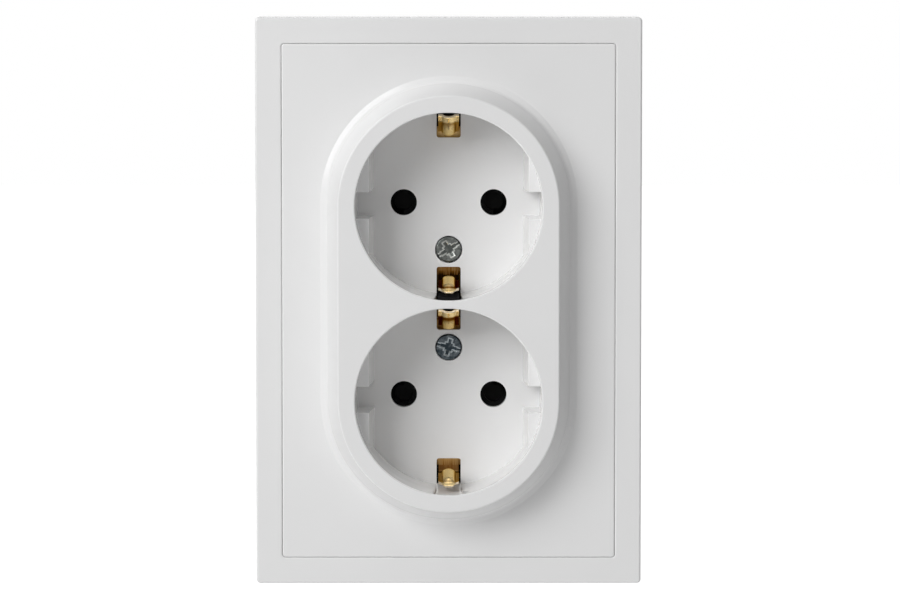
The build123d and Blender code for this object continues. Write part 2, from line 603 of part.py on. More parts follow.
# Shutters: two ramped gates joined by a beam, pushed aside when both pins press together
for well, side in WELLS.items():
    gate_z = side * WELL_Z
    with BuildPart() as shutter:
        for way in (-1, 1):
            with BuildSketch(SECTION.offset(-way * PIN_X)):
                with BuildLine():
                    Polyline(
                        (SHUTTER_FRONT, gate_z + side * GATE_REACH),
                        (SHUTTER_FRONT, gate_z + side * (GATE_REACH - GATE_LAND)),
                        (SHUTTER_BACK + GATE_TOE, gate_z - side * GATE_REACH),
                        (SHUTTER_BACK, gate_z - side * GATE_REACH),
                        (SHUTTER_BACK, gate_z + side * GATE_REACH),
                        close=True,
                    )
                make_face()
            extrude(amount=GATE_HALF_W, both=True)
        with BuildSketch(FRONT.offset(SHUTTER_BACK)):
            with Locations((0, gate_z + side * (BEAM_TOP_REACH - GATE_REACH) / 2)):
                Rectangle(PIN_SPACING, BEAM_TOP_REACH + GATE_REACH)
        extrude(amount=SHUTTER_FRONT - BEAM_DROP - SHUTTER_BACK)
        with BuildSketch(FRONT.offset(SHUTTER_FRONT)):
            with Locations((0, gate_z)):
                with GridLocations(PIN_SPACING, 0, 2, 1):
                    Circle(TIP_DIMPLE_R)
        extrude(amount=SHUTTER_BACK / 2 - TIP_DIMPLE_DEPTH - SHUTTER_FRONT, mode=Mode.SUBTRACT)
        with BuildSketch(Plane.XY.offset(gate_z + side * BEAM_TOP_REACH)):
            with Locations((0, -SPRING_H)):
                Circle(PEG_R)
        extrude(amount=side * PEG_L)
    shutter.part.label = f"shutter_{well}"
    export_step(shutter.part, f"parts/shutter_{well}.step")

# Shutter springs: close-wound steel coils between the shutter's beam and the centre plate's post
for well, side in WELLS.items():
    spring_base = side * (WELL_Z + BEAM_TOP_REACH + SPRING_END_GAP + SPRING_WIRE_R)
    with BuildPart() as shutter_spring:
        with BuildLine() as coil:
            Helix(
                pitch=(SPRING_L - 2 * SPRING_WIRE_R) / SPRING_TURNS,
                height=SPRING_L - 2 * SPRING_WIRE_R,
                radius=SPRING_R,
                center=(0, -SPRING_H, spring_base),
                direction=(0, 0, side),
            )
        with BuildSketch(Plane(coil.line @ 0, z_dir=coil.line % 0)):
            Circle(SPRING_WIRE_R)
        sweep(path=coil.line)
    shutter_spring.part.label = f"shutter_spring_{well}"
    export_step(shutter_spring.part, f"parts/shutter_spring_{well}.step")

# Earth brackets: one brass strip per well, folded into a U with two sprung arms and embossed contact ribs
for well, side in WELLS.items():
    well_z = side * WELL_Z
    strip_h = DECK_FRONT - BRACKET_T / 2
    with BuildPart() as earth_bracket:
        for way in (-1, 1):
            with BuildSketch(SECTION):
                with BuildLine():
                    FilletPolyline(
                        (strip_h, well_z),
                        (strip_h, well_z + way * ARM_ROOT_REACH),
                        (MOUTH_H - ARM_KNEE_DROP, well_z + way * ARM_ROOT_REACH),
                        (MOUTH_H - ARM_CREST_DROP, well_z + way * ARM_CREST_REACH),
                        (MOUTH_H - ARM_CREASE_DROP, well_z + way * ARM_CREASE_REACH),
                        (MOUTH_H - ARM_TIP_DROP, well_z + way * ARM_TIP_REACH),
                        radius=ARM_BEND_R,
                    )
                trace(line_width=BRACKET_T)
            extrude(amount=ARM_W / 2, both=True)
            with BuildSketch(SECTION):
                with BuildLine():
                    Polyline(
                        (MOUTH_H - RIB_FOOT_DROP, well_z + way * RIB_FOOT_REACH),
                        (MOUTH_H - ARM_CREST_DROP, well_z + way * (ARM_CREST_REACH - RIB_H)),
                        (MOUTH_H - ARM_CREASE_DROP, well_z + way * (ARM_CREASE_REACH - RIB_H)),
                        (MOUTH_H - ARM_TIP_DROP, well_z + way * ARM_TIP_REACH),
                        (MOUTH_H - ARM_CREST_DROP, well_z + way * ARM_CREST_REACH),
                        close=True,
                    )
                make_face()
            extrude(amount=RIB_W / 2, both=True)
        with BuildSketch(FRONT.offset(DECK_FRONT)):
            with Locations((0, well_z)):
                Rectangle(BRACKET_W, 2 * BRACKET_FLAT_REACH)
        extrude(amount=-BRACKET_T)
        with BuildSketch(FRONT.offset(DECK_FRONT)):
            with Locations((0, well_z + side * SCREW_REACH)):
                Circle(SCREW_HOLE_R)
            with Locations((0, well_z + side * EARTH_RIVET_REACH)):
                Circle(EARTH_RIVET_R + RIVET_GAP)
        extrude(amount=-BRACKET_T, mode=Mode.SUBTRACT)
    earth_bracket.part.label = f"earth_bracket_{well}"
    export_step(earth_bracket.part, f"parts/earth_bracket_{well}.step")

# Earth link: brass strip under both brackets, with drawn tapped collars and a folded terminal wall
with BuildPart() as earth_link:
    with BuildSketch(FRONT.offset(LINK_FRONT)):
        Rectangle(BRACKET_W, LINK_L)
    extrude(amount=-LINK_T)
    with BuildSketch(FRONT.offset(LINK_BACK)):
        with GridLocations(0, 2 * SCREW_Z, 1, 2):
            Circle(COLLAR_OUT_R)
    extrude(amount=-COLLAR_L)
    with BuildSketch(FRONT.offset(LINK_FRONT)):
        with Locations((EARTH_WALL_X - WALL_T / 2, 0)):
            Rectangle(WALL_T, TERMINAL_L)
    extrude(amount=TULIP_BACK - LINK_FRONT)
    with BuildSketch(FRONT.offset(LINK_FRONT)):
        with GridLocations(0, 2 * SCREW_Z, 1, 2):
            Circle(THREAD_HOLE_R)
        with GridLocations(0, 2 * (WELL_Z + EARTH_RIVET_REACH), 1, 2):
            Circle(EARTH_RIVET_R + RIVET_GAP)
    extrude(amount=-LINK_T - COLLAR_L, mode=Mode.SUBTRACT)
earth_link.part.label = "earth_link"
export_step(earth_link.part, "parts/earth_link.step")

# Earth rivets: closed flush through bracket and link
with BuildPart() as earth_rivets:
    with BuildSketch(FRONT.offset(DECK_FRONT)):
        with GridLocations(0, 2 * (WELL_Z + EARTH_RIVET_REACH), 1, 2):
            Circle(EARTH_RIVET_R)
    extrude(amount=LINK_BACK - DECK_FRONT)
earth_rivets.part.label = "earth_rivets"
export_step(earth_rivets.part, "parts/earth_rivets.step")

# Pole bars: brass strips, each with two slotted tulip contacts and a terminal wall
for pole, way in POLES.items():
    with BuildPart() as pole_bar:
        with BuildSketch(FRONT.offset(TULIP_BACK)):
            with Locations((way * PIN_X, 0)):
                Rectangle(BAR_W, WELL_PITCH + 2 * BAR_END)
            tab_w = POLE_WALL_X - PIN_X
            with Locations((way * (PIN_X + tab_w / 2), 0)):
                Rectangle(tab_w, TERMINAL_L)
        extrude(amount=-BAR_T)
        with BuildSketch(FRONT.offset(TULIP_BACK)):
            with Locations((way * (POLE_WALL_X - WALL_T / 2), 0)):
                Rectangle(WALL_T, TERMINAL_L)
        extrude(amount=WALL_L)
        with BuildSketch(FRONT.offset(TULIP_BACK)):
            with Locations((way * PIN_X, 0)):
                with GridLocations(0, WELL_PITCH, 1, 2):
                    Circle(TULIP_IN_R + TULIP_T)
        extrude(amount=TULIP_L)
        with BuildSketch(FRONT.offset(TULIP_BACK)):
            with Locations((way * PIN_X, 0)):
                with GridLocations(0, WELL_PITCH, 1, 2):
                    Circle(TULIP_IN_R)
        extrude(amount=TULIP_L, mode=Mode.SUBTRACT)
        flare_edges = pole_bar.edges().filter_by(GeomType.CIRCLE).group_by(Axis.Y)[0]
        chamfer(flare_edges.filter_by(lambda edge: edge.radius < TULIP_IN_R + TULIP_T / 2), TULIP_FLARE)
        with BuildSketch(FRONT.offset(TULIP_BACK)):
            with Locations((way * PIN_X, 0)):
                with GridLocations(0, WELL_PITCH, 1, 2):
                    Rectangle(TULIP_SLOT_W, 2 * BAR_W)
        extrude(amount=TULIP_L, mode=Mode.SUBTRACT)
    pole_bar.part.label = f"{pole}_bar"
    export_step(pole_bar.part, f"parts/{pole}_bar.step")

# Terminal clamps: folded steel leaves whose slanting legs press the wires against the terminal walls
for terminal, (wall_x, way) in TERMINALS.items():
    with BuildPart() as clamp_spring:
        with BuildSketch(PLAN):
            with BuildLine():
                FilletPolyline(
                    (wall_x + way * CLAMP_SPAN, -CLAMP_HEEL_DEPTH),
                    (wall_x + way * CLAMP_SPAN, -CLAMP_APEX_DEPTH),
                    (wall_x + way * (CLAMP_TIP_GAP + CLAMP_T), -CLAMP_TIP_DEPTH),
                    radius=CLAMP_T,
                )
            trace(line_width=CLAMP_T)
        extrude(amount=CLAMP_L / 2, both=True)
        with BuildSketch(FRONT.offset(-CLAMP_APEX_DEPTH + CLAMP_T)):
            with Locations((wall_x + way * (CLAMP_SPAN - CLAMP_T) / 2, 0)):
                Rectangle(CLAMP_SPAN - 2 * CLAMP_T, CLAMP_SLIT_W)
        extrude(amount=CLAMP_APEX_DEPTH - CLAMP_HEEL_DEPTH, mode=Mode.SUBTRACT)
    clamp_spring.part.label = f"{terminal}_clamp_spring"
    export_step(clamp_spring.part, f"parts/{terminal}_clamp_spring.step")

# Release buttons: plungers behind the slanting legs, hooked inside the rear cover
for terminal, (wall_x, way) in TERMINALS.items():
    near_x = wall_x + way * BUTTON_NEAR
    far_x = near_x + way * BUTTON_W
    near_rise = CLAMP_SLOPE * (CLAMP_SPAN - BUTTON_NEAR) - CLAMP_T - BUTTON_TIP_GAP
    far_rise = near_rise - CLAMP_SLOPE * BUTTON_W
    with BuildPart() as release_button:
        with BuildSketch(PLAN):
            with BuildLine():
                Polyline(
                    (near_x, REAR_BACK - BUTTON_PROUD),
                    (near_x, -CLAMP_APEX_DEPTH + near_rise - CLAMP_T),
                    (far_x, -CLAMP_APEX_DEPTH + far_rise - CLAMP_T),
                    (far_x, BASE_BACK + BUTTON_HOOK_GAP + BUTTON_HOOK_T),
                    (far_x + way * BUTTON_HOOK, BASE_BACK + BUTTON_HOOK_GAP + BUTTON_HOOK_T),
                    (far_x + way * BUTTON_HOOK, BASE_BACK + BUTTON_HOOK_GAP),
                    (far_x, BASE_BACK + BUTTON_HOOK_GAP),
                    (far_x, REAR_BACK - BUTTON_PROUD),
                    close=True,
                )
            make_face()
        extrude(amount=BUTTON_L / 2, both=True)
        chamfer(release_button.faces().sort_by(Axis.Y)[-1].edges(), BUTTON_EDGE)
        with BuildSketch(FRONT.offset(REAR_BACK - BUTTON_PROUD)):
            with Locations(((near_x + far_x) / 2, 0)):
                Rectangle(BUTTON_W, BUTTON_SLOT_W)
        extrude(amount=BUTTON_SLOT_DEPTH, mode=Mode.SUBTRACT)
    release_button.part.label = f"{terminal}_release_button"
    export_step(release_button.part, f"parts/{terminal}_release_button.step")
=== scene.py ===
import math

import bmesh
import bpy
import numpy as np
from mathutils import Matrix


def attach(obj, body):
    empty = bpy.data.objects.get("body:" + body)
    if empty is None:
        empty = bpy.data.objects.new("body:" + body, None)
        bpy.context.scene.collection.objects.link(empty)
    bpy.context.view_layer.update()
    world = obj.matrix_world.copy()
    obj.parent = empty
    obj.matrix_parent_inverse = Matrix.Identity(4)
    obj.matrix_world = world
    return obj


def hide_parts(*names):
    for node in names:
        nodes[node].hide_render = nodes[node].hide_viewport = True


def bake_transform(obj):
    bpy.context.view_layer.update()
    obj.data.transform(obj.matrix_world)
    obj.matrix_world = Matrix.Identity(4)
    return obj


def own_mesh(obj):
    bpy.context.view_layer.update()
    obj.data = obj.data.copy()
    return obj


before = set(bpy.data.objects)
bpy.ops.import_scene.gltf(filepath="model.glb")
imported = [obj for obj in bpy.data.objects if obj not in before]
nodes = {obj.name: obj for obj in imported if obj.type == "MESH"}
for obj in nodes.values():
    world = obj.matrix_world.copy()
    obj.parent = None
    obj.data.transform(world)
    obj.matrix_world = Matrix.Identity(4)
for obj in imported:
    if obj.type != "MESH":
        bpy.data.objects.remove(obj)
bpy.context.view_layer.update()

# Support plate
# The mounting plate is blanked and folded from zinc-plated steel sheet, and two screws in its slots
# hold the whole outlet to the wall box. The rolled sheet keeps faint streaks and a mottled plating.


def finish_material(name, colour, rough, metal=0.0, ior=1.5, glance=(1.0, 1.0, 1.0)):
    """A material with one shader, whose plain colour, gloss and metal, and the tint of what it
    reflects at a low angle, are set on its own sockets."""
    material = bpy.data.materials.new(name)
    material.use_nodes = True
    sockets = material.node_tree.nodes["Principled BSDF"].inputs
    sockets["Base Color"].default_value = (*colour, 1.0)
    sockets["Roughness"].default_value = rough
    sockets["Metallic"].default_value = metal
    sockets["IOR"].default_value = ior
    sockets["Specular Tint"].default_value = (*glance, 1.0)
    return material


def grain(material, cells, detail=3.0, stretch=(1.0, 1.0, 1.0)):
    """Noise over the piece's own coordinates: cells per metre, each axis times its share in stretch."""
    tree = material.node_tree
    place = tree.nodes.new("ShaderNodeTexCoord")
    fit = tree.nodes.new("ShaderNodeMapping")
    fit.inputs["Scale"].default_value = stretch
    noise = tree.nodes.new("ShaderNodeTexNoise")
    noise.inputs["Scale"].default_value = cells
    noise.inputs["Detail"].default_value = detail
    tree.links.new(place.outputs["Object"], fit.inputs["Vector"])
    tree.links.new(fit.outputs["Vector"], noise.inputs["Vector"])
    return noise.outputs["Fac"]


def vary(material, pattern, socket, low, high, start=0.3, stop=0.7):
    """Carries a pattern to a shader socket: low where it is below start, high where it is above
    stop, and even between."""
    tree = material.node_tree
    ramp = tree.nodes.new("ShaderNodeMapRange")
    if socket == "Base Color":
        ramp.data_type = "FLOAT_VECTOR"
        names = ("From_Min_FLOAT3", "From_Max_FLOAT3", "To_Min_FLOAT3", "To_Max_FLOAT3")
        values = ((start,) * 3, (stop,) * 3, low, high)
        source, result = "Vector", "Vector"
    else:
        names = ("From Min", "From Max", "To Min", "To Max")
        values = (start, stop, low, high)
        source, result = "Value", "Result"
    inputs = {item.identifier: item for item in ramp.inputs}
    outputs = {item.identifier: item for item in ramp.outputs}
    for name, value in zip(names, values):
        inputs[name].default_value = value
    tree.links.new(pattern, inputs[source])
    tree.links.new(outputs[result], tree.nodes["Principled BSDF"].inputs[socket])


def relief(material, pattern, depth, strength=1.0):
    """Turns a pattern into fine relief of the surface, depth metres from its lowest to its highest."""
    tree = material.node_tree
    bump = tree.nodes.new("ShaderNodeBump")
    bump.inputs["Distance"].default_value = depth
    bump.inputs["Strength"].default_value = strength
    tree.links.new(pattern, bump.inputs["Height"])
    tree.links.new(bump.outputs["Normal"], tree.nodes["Principled BSDF"].inputs["Normal"])


def mottle(material, low, high, **noise):
    """Colour that passes between two shades over a noise of its own."""
    vary(material, grain(material, **noise), "Base Color", low, high)


def gloss(material, low, high, **noise):
    """Roughness that passes between two values over a noise of its own."""
    vary(material, grain(material, **noise), "Roughness", low, high)


def texture(material, depth, strength=1.0, **noise):
    """Fine relief that follows a noise of its own."""
    relief(material, grain(material, **noise), depth, strength)


def dress(material, *names):
    """Puts a material on CAD nodes as their only finish."""
    for name in names:
        nodes[name].data.materials.clear()
        nodes[name].data.materials.append(material)


plated_sheet = finish_material("plated_sheet", (0.62, 0.63, 0.64), rough=0.36, metal=1.0)
mottle(plated_sheet, (0.55, 0.56, 0.57), (0.67, 0.68, 0.69), cells=260.0, detail=5.0)
gloss(plated_sheet, 0.27, 0.46, cells=900.0, detail=4.0, stretch=(1.0, 1.0, 0.06))
texture(plated_sheet, depth=0.000012, cells=1400.0, stretch=(1.0, 1.0, 0.05))
dress(plated_sheet, "support_plate")

# Housing and rear cover
# Both are black insulating mouldings, one riveted behind the support plate and the other screwed on as
# its back. Their tools are spark-eroded, so the surface is matt with an even fine grain.

housing_black = finish_material("housing_black", (0.011, 0.011, 0.012), rough=0.55, ior=1.2)
mottle(housing_black, (0.007, 0.007, 0.008), (0.016, 0.016, 0.017), cells=180.0, detail=4.0)
gloss(housing_black, 0.45, 0.65, cells=2600.0, detail=2.0)
texture(housing_black, depth=0.00002, strength=0.6, cells=5200.0, detail=2.0)
dress(housing_black, "socket_base", "rear_cover")

# Housing rivets
# Four rivets of zinc-plated steel hold the housing to the support plate. Each is headed on one of the
# housing's ears and closed into the plate.

plated_steel = finish_material("plated_steel", (0.58, 0.6, 0.61), rough=0.34, metal=1.0)
mottle(plated_steel, (0.48, 0.5, 0.52), (0.64, 0.66, 0.67), cells=1500.0, detail=4.0)
gloss(plated_steel, 0.25, 0.44, cells=3500.0)
texture(plated_steel, depth=0.000012, cells=4500.0, detail=2.0)
dress(plated_steel, "base_rivets")

# Pole bars
# Each pole is stamped and rolled from one brass strip, with two slotted pin contacts and a terminal wall.
# The strip keeps the fine streaks of its rolling and tarnishes a little between them.

strip_brass = finish_material(
    "strip_brass", (0.72, 0.55, 0.24), rough=0.26, metal=1.0, glance=(0.95, 0.8, 0.5)
)
mottle(
    strip_brass,
    (0.6, 0.43, 0.16),
    (0.78, 0.61, 0.3),
    cells=2600.0,
    detail=4.0,
    stretch=(1.0, 0.04, 0.04),
)
gloss(strip_brass, 0.18, 0.36, cells=1800.0, stretch=(1.0, 0.05, 0.05))
texture(strip_brass, depth=0.00001, cells=3200.0, detail=2.0, stretch=(1.0, 0.03, 0.03))
dress(strip_brass, "line_bar", "neutral_bar")

# Terminal clamps
# Each terminal has a leaf of spring steel, folded over at the back, whose slit slanting leg presses the
# wires against the terminal wall. A release button bends the leg away from them.

MM = 0.001
MERGE_NEAR = 1e-7
EDGE_LEAST = 1e-8
LEAF_SPAN = 7.1
LEAF_HEEL_DEPTH = 11.0
LEAF_APEX_DEPTH = 19.6
LEAF_TIP_SPAN = 0.7
LEAF_TIP_DEPTH = 13.0
LEAF_FOLD_R = 0.6
LEAF_THICK = 0.4
LEAF_EDGE = 0.06
LEAF_LONG = 14.0
LEAF_SLIT = 2.4
LEAF_FOLD_STEPS = 9
LEAF_HEEL_STEPS = 14
LEAF_LEG_STEPS = 24
LEAF_SIDE_LINES = 9
TERMINAL_WALLS = {"line": (-14.3, -1.0), "neutral": (14.3, 1.0), "earth": (-3.2, 1.0)}


def rounded_path(corners, radius, steps):
    """A path through corner points: straight runs joined by arcs of one radius, steps points to an
    arc. Each arc is the quadratic curve from a tangent point to the corner to the other tangent point,
    lifted to a circle by the rational weight, which is the cosine of half the turn."""
    corners = np.asarray(corners, float)
    pieces = [corners[:1]]
    for before, corner, after in zip(corners[:-2], corners[1:-1], corners[2:]):
        back = (before - corner) / np.linalg.norm(before - corner)
        ahead = (after - corner) / np.linalg.norm(after - corner)
        half = np.arccos(np.clip(back @ ahead, -1.0, 1.0)) / 2
        reach = radius / np.tan(half)
        t = np.linspace(0.0, 1.0, steps)[:, None]
        weight = np.sin(half)
        shares = np.concatenate([(1 - t) ** 2, 2 * t * (1 - t) * weight, t**2], axis=1)
        pins = np.stack([corner + reach * back, corner, corner + reach * ahead])
        pieces.append(shares @ pins / shares.sum(axis=1, keepdims=True))
    pieces.append(corners[-1:])
    return np.concatenate(pieces)


def even_steps(path, count):
    """The same path at count points that lie evenly along its length."""
    steps = np.linalg.norm(np.diff(path, axis=0), axis=1)
    along = np.concatenate([[0.0], np.cumsum(steps)])
    want = np.linspace(0.0, along[-1], count)
    return np.stack([np.interp(want, along, path[:, k]) for k in range(path.shape[1])], axis=1)


def grid_faces(rows, columns, wrap=False, offset=0):
    """Quads between neighbouring points of a grid, row by row, and round to the first column where it
    wraps."""
    index = np.arange(rows * columns).reshape(rows, columns) + offset
    if wrap:
        index = np.concatenate([index, index[:, :1]], axis=1)
    return np.stack([index[:-1, :-1], index[1:, :-1], index[1:, 1:], index[:-1, 1:]], axis=-1)


def make_piece(name, points, faces, material, slot, sharp=40.0, wear_and_light=None):
    """A piece from points in millimetres: doubles and poles merged, faces turned outwards, then shaded
    smooth with an edge kept wherever two faces meet at more than the sharp angle. Where it has wear and
    painted light, each point keeps its own share of them, from nought to one, for the material to read."""
    mesh = bpy.data.meshes.new(name)
    mesh.from_pydata((points.reshape(-1, 3) * MM).tolist(), [], faces.reshape(-1, 4).tolist())
    if wear_and_light is not None:
        shares = mesh.attributes.new("wear_and_light", "FLOAT", "POINT")
        shares.data.foreach_set("value", wear_and_light.ravel().astype(np.float32))
    work = bmesh.new()
    work.from_mesh(mesh)
    bmesh.ops.remove_doubles(work, verts=work.verts, dist=MERGE_NEAR)
    bmesh.ops.dissolve_degenerate(work, edges=work.edges, dist=EDGE_LEAST)
    bmesh.ops.recalc_face_normals(work, faces=work.faces)
    work.to_mesh(mesh)
    work.free()
    mesh.shade_smooth()
    mesh.set_sharp_from_angle(angle=math.radians(sharp))
    mesh.materials.append(material)
    piece = bpy.data.objects.new(name, mesh)
    bpy.context.scene.collection.objects.link(piece)
    return piece


def thicken(piece, thick, edge, cut_finish=None):
    """Gives a sheet its wall, half to each side, and breaks its cut edges, which may have a finish of
    their own."""
    wall = piece.modifiers.new("wall", "SOLIDIFY")
    wall.thickness = thick * MM
    wall.offset = 0.0
    wall.use_even_offset = True
    if cut_finish:
        piece.data.materials.append(cut_finish)
        wall.material_offset_rim = 1
    broken = piece.modifiers.new("broken_edge", "BEVEL")
    broken.width = edge * MM
    broken.segments = 2
    broken.limit_method = "ANGLE"
    broken.angle_limit = math.radians(50.0)


def leaf_sheet(wall_x, way):
    """The middle surface of a clamp: its folded outline, in two even runs that meet in the middle of the
    fold, carried along the terminal, less the slit in its leg."""
    heel_x = wall_x + way * LEAF_SPAN
    tip_x = wall_x + way * LEAF_TIP_SPAN
    corners = [(heel_x, LEAF_HEEL_DEPTH), (heel_x, LEAF_APEX_DEPTH), (tip_x, LEAF_TIP_DEPTH)]
    outline = rounded_path(corners, LEAF_FOLD_R, LEAF_FOLD_STEPS)
    middle = 1 + LEAF_FOLD_STEPS // 2
    heel = even_steps(outline[: middle + 1], LEAF_HEEL_STEPS)
    leg = even_steps(outline[middle:], LEAF_LEG_STEPS)[1:]
    section = np.concatenate([heel, leg])
    half = np.linspace(LEAF_SLIT / 2, LEAF_LONG / 2, LEAF_SIDE_LINES)
    across = np.concatenate([-half[::-1], half])
    points = np.empty((len(section), len(across), 3))
    points[..., :2] = section[:, None, :]
    points[..., 2] = across[None, :]
    faces = grid_faces(len(section), len(across))
    keep = np.ones(faces.shape[:2], bool)
    keep[len(heel) + 1 :, len(half) - 1] = False
    return points, faces[keep]


leaf_steel = finish_material("leaf_steel", (0.5, 0.5, 0.5), rough=0.28, metal=1.0)
mottle(
    leaf_steel, (0.42, 0.42, 0.43), (0.57, 0.57, 0.57), cells=1600.0, stretch=(0.06, 0.06, 1.0)
)
gloss(leaf_steel, 0.2, 0.36, cells=2400.0, stretch=(0.05, 0.05, 1.0))
texture(leaf_steel, depth=0.000008, cells=3000.0, detail=2.0, stretch=(0.05, 0.05, 1.0))
for terminal, (wall_x, way) in TERMINAL_WALLS.items():
    leaf = make_piece(
        f"{terminal}_clamp_leaf", *leaf_sheet(wall_x, way), leaf_steel, "spring_steel"
    )
    thicken(leaf, LEAF_THICK, LEAF_EDGE)
    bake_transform(leaf)
    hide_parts(f"{terminal}_clamp_spring")

# Release buttons
# Small plungers moulded in grey plastic, and in green for the earth, each with a screwdriver slot at its
# end. They slide in the rear cover, and each bends the leg of its clamp when it is pressed.

BUTTON_COLOURS = {
    "grey": ((0.45, 0.46, 0.47), (0.41, 0.42, 0.43), (0.48, 0.49, 0.5)),
    "green": ((0.1, 0.38, 0.16), (0.08, 0.34, 0.135), (0.115, 0.41, 0.18)),
}
BUTTON_NODES = {
    "grey": ("line_release_button", "neutral_release_button"),
    "green": ("earth_release_button",),
}

for colour, (plain, low, high) in BUTTON_COLOURS.items():
    button_plastic = finish_material(f"button_{colour}", plain, rough=0.42)
    mottle(button_plastic, low, high, cells=700.0, detail=4.0)
    gloss(button_plastic, 0.36, 0.5, cells=2600.0, detail=2.0)
    texture(button_plastic, depth=0.000015, strength=0.6, cells=5200.0, detail=2.0)
    dress(button_plastic, *BUTTON_NODES[colour])

# Rear cover screws
# Four self-tapping screws of zinc-plated steel draw the rear cover onto the housing's posts. Their pan
# heads are pressed with a cross recess and their threads are rolled.

REAR_PLACES = [(x, z) for x in (-11.5, 11.5) for z in (-32.5, 32.5)]
REAR_TOP_DEPTH = 26.6
REAR_FACING = (1.0, -1.0, 1.0)
REAR_TURN = 0.4
REAR_SCREW = {
    "head_r": 2.6,
    "head_thick": 1.8,
    "crown": 0.45,
    "chamfer": 0.25,
    "shank_r": 1.28,
    "root_r": 0.95,
    "pitch": 1.1,
    "long": 10.25,
    "lines": 40,
}
REAR_RECESS = {"arm_half": 0.42, "arm_reach": 1.75, "pit_half": 0.75, "deep": 0.95}
RECESS_FALL = 0.5
RECESS_SLOPE = 0.1
# Painted shade inside the recess and round the head's side, and the width of the painted highlight at the
# recess's rim
GLINT_WIDTH = 0.1
SCREW_SHADE = 0.0
RECESS_WIDTHS = ("arm_half", "arm_reach", "pit_half", "slot_half")
RECESS_LINES = (-1.2, -0.5, 0.5, 1.2, 2.2)
HEAD_PLAIN = 0.06
HEAD_BEND = 0.3
HEAD_BREAK = 0.06
HEAD_BREAK_IN = 0.05
NECK_FLARE = 0.15
THREAD_GAP = 0.05
THREAD_STEPS = 8
RIDGE_TOP = 1.6
RIDGE_SLOPE = 3.2
PLAIN_END = 0.6
TIP_SHARES = (0.8, 0.35, 0.0)
TIP_BACK = (0.4, 0.1, 0.0)


def box_distance(along, across, half_along, half_across):
    """Distance from a rectangle's edge, more than nought outside it and less inside."""
    out_along = np.abs(along) - half_along
    out_across = np.abs(across) - half_across
    outside = np.hypot(np.maximum(out_along, 0.0), np.maximum(out_across, 0.0))
    return outside + np.minimum(np.maximum(out_along, out_across), 0.0)


def cross_recess(along, across, arm_half, arm_reach, pit_half, deep, slot_half=0.0, slot_depth=0.0):
    """Depth below a screw head, and its painted light. Two crossing arms get shallower outwards, a square
    pit lies between them, and a slot runs right across where it has one. Every wall slopes evenly and the
    deepest shape counts. The painted light is darkest inside the recess, as painted shade, a little lighter
    on the head, and brightest at the recess's rim, a painted highlight that falls off on both sides as a
    bell curve."""
    fall = deep * (1.0 - RECESS_FALL * np.hypot(along, across) / arm_reach)
    shapes = [
        (box_distance(along, across, arm_reach, arm_half), fall),
        (box_distance(along, across, arm_half, arm_reach), fall),
        (box_distance(along, across, pit_half, pit_half), deep),
    ]
    if slot_half:
        shapes.append((np.abs(across) - slot_half, slot_depth))
    pressed = [floor * np.clip(0.5 - far / RECESS_SLOPE, 0.0, 1.0) for far, floor in shapes]
    rim = np.min([far for far, floor in shapes], axis=0)
    on_head = np.clip(0.5 + rim / RECESS_SLOPE, 0.0, 1.0)
    plain = SCREW_SHADE + (HEAD_PLAIN - SCREW_SHADE) * on_head
    return np.max(pressed, axis=0), plain + (1.0 - plain) * np.exp(-((rim / GLINT_WIDTH) ** 2))


def head_lines(radius, recess, count):
    """Lines over a round head: even in angle, so that its outline is round, and close at the recess's
    edges, where they stand a few widths of its slope apart."""
    edges = [recess[width] for width in RECESS_WIDTHS if width in recess]
    even = radius * np.sin(np.linspace(-0.5, 0.5, count) * np.pi)
    close = np.add.outer(edges, np.array(RECESS_LINES) * RECESS_SLOPE).ravel()
    return np.unique(np.round(np.concatenate([even, close, -close]), 4))


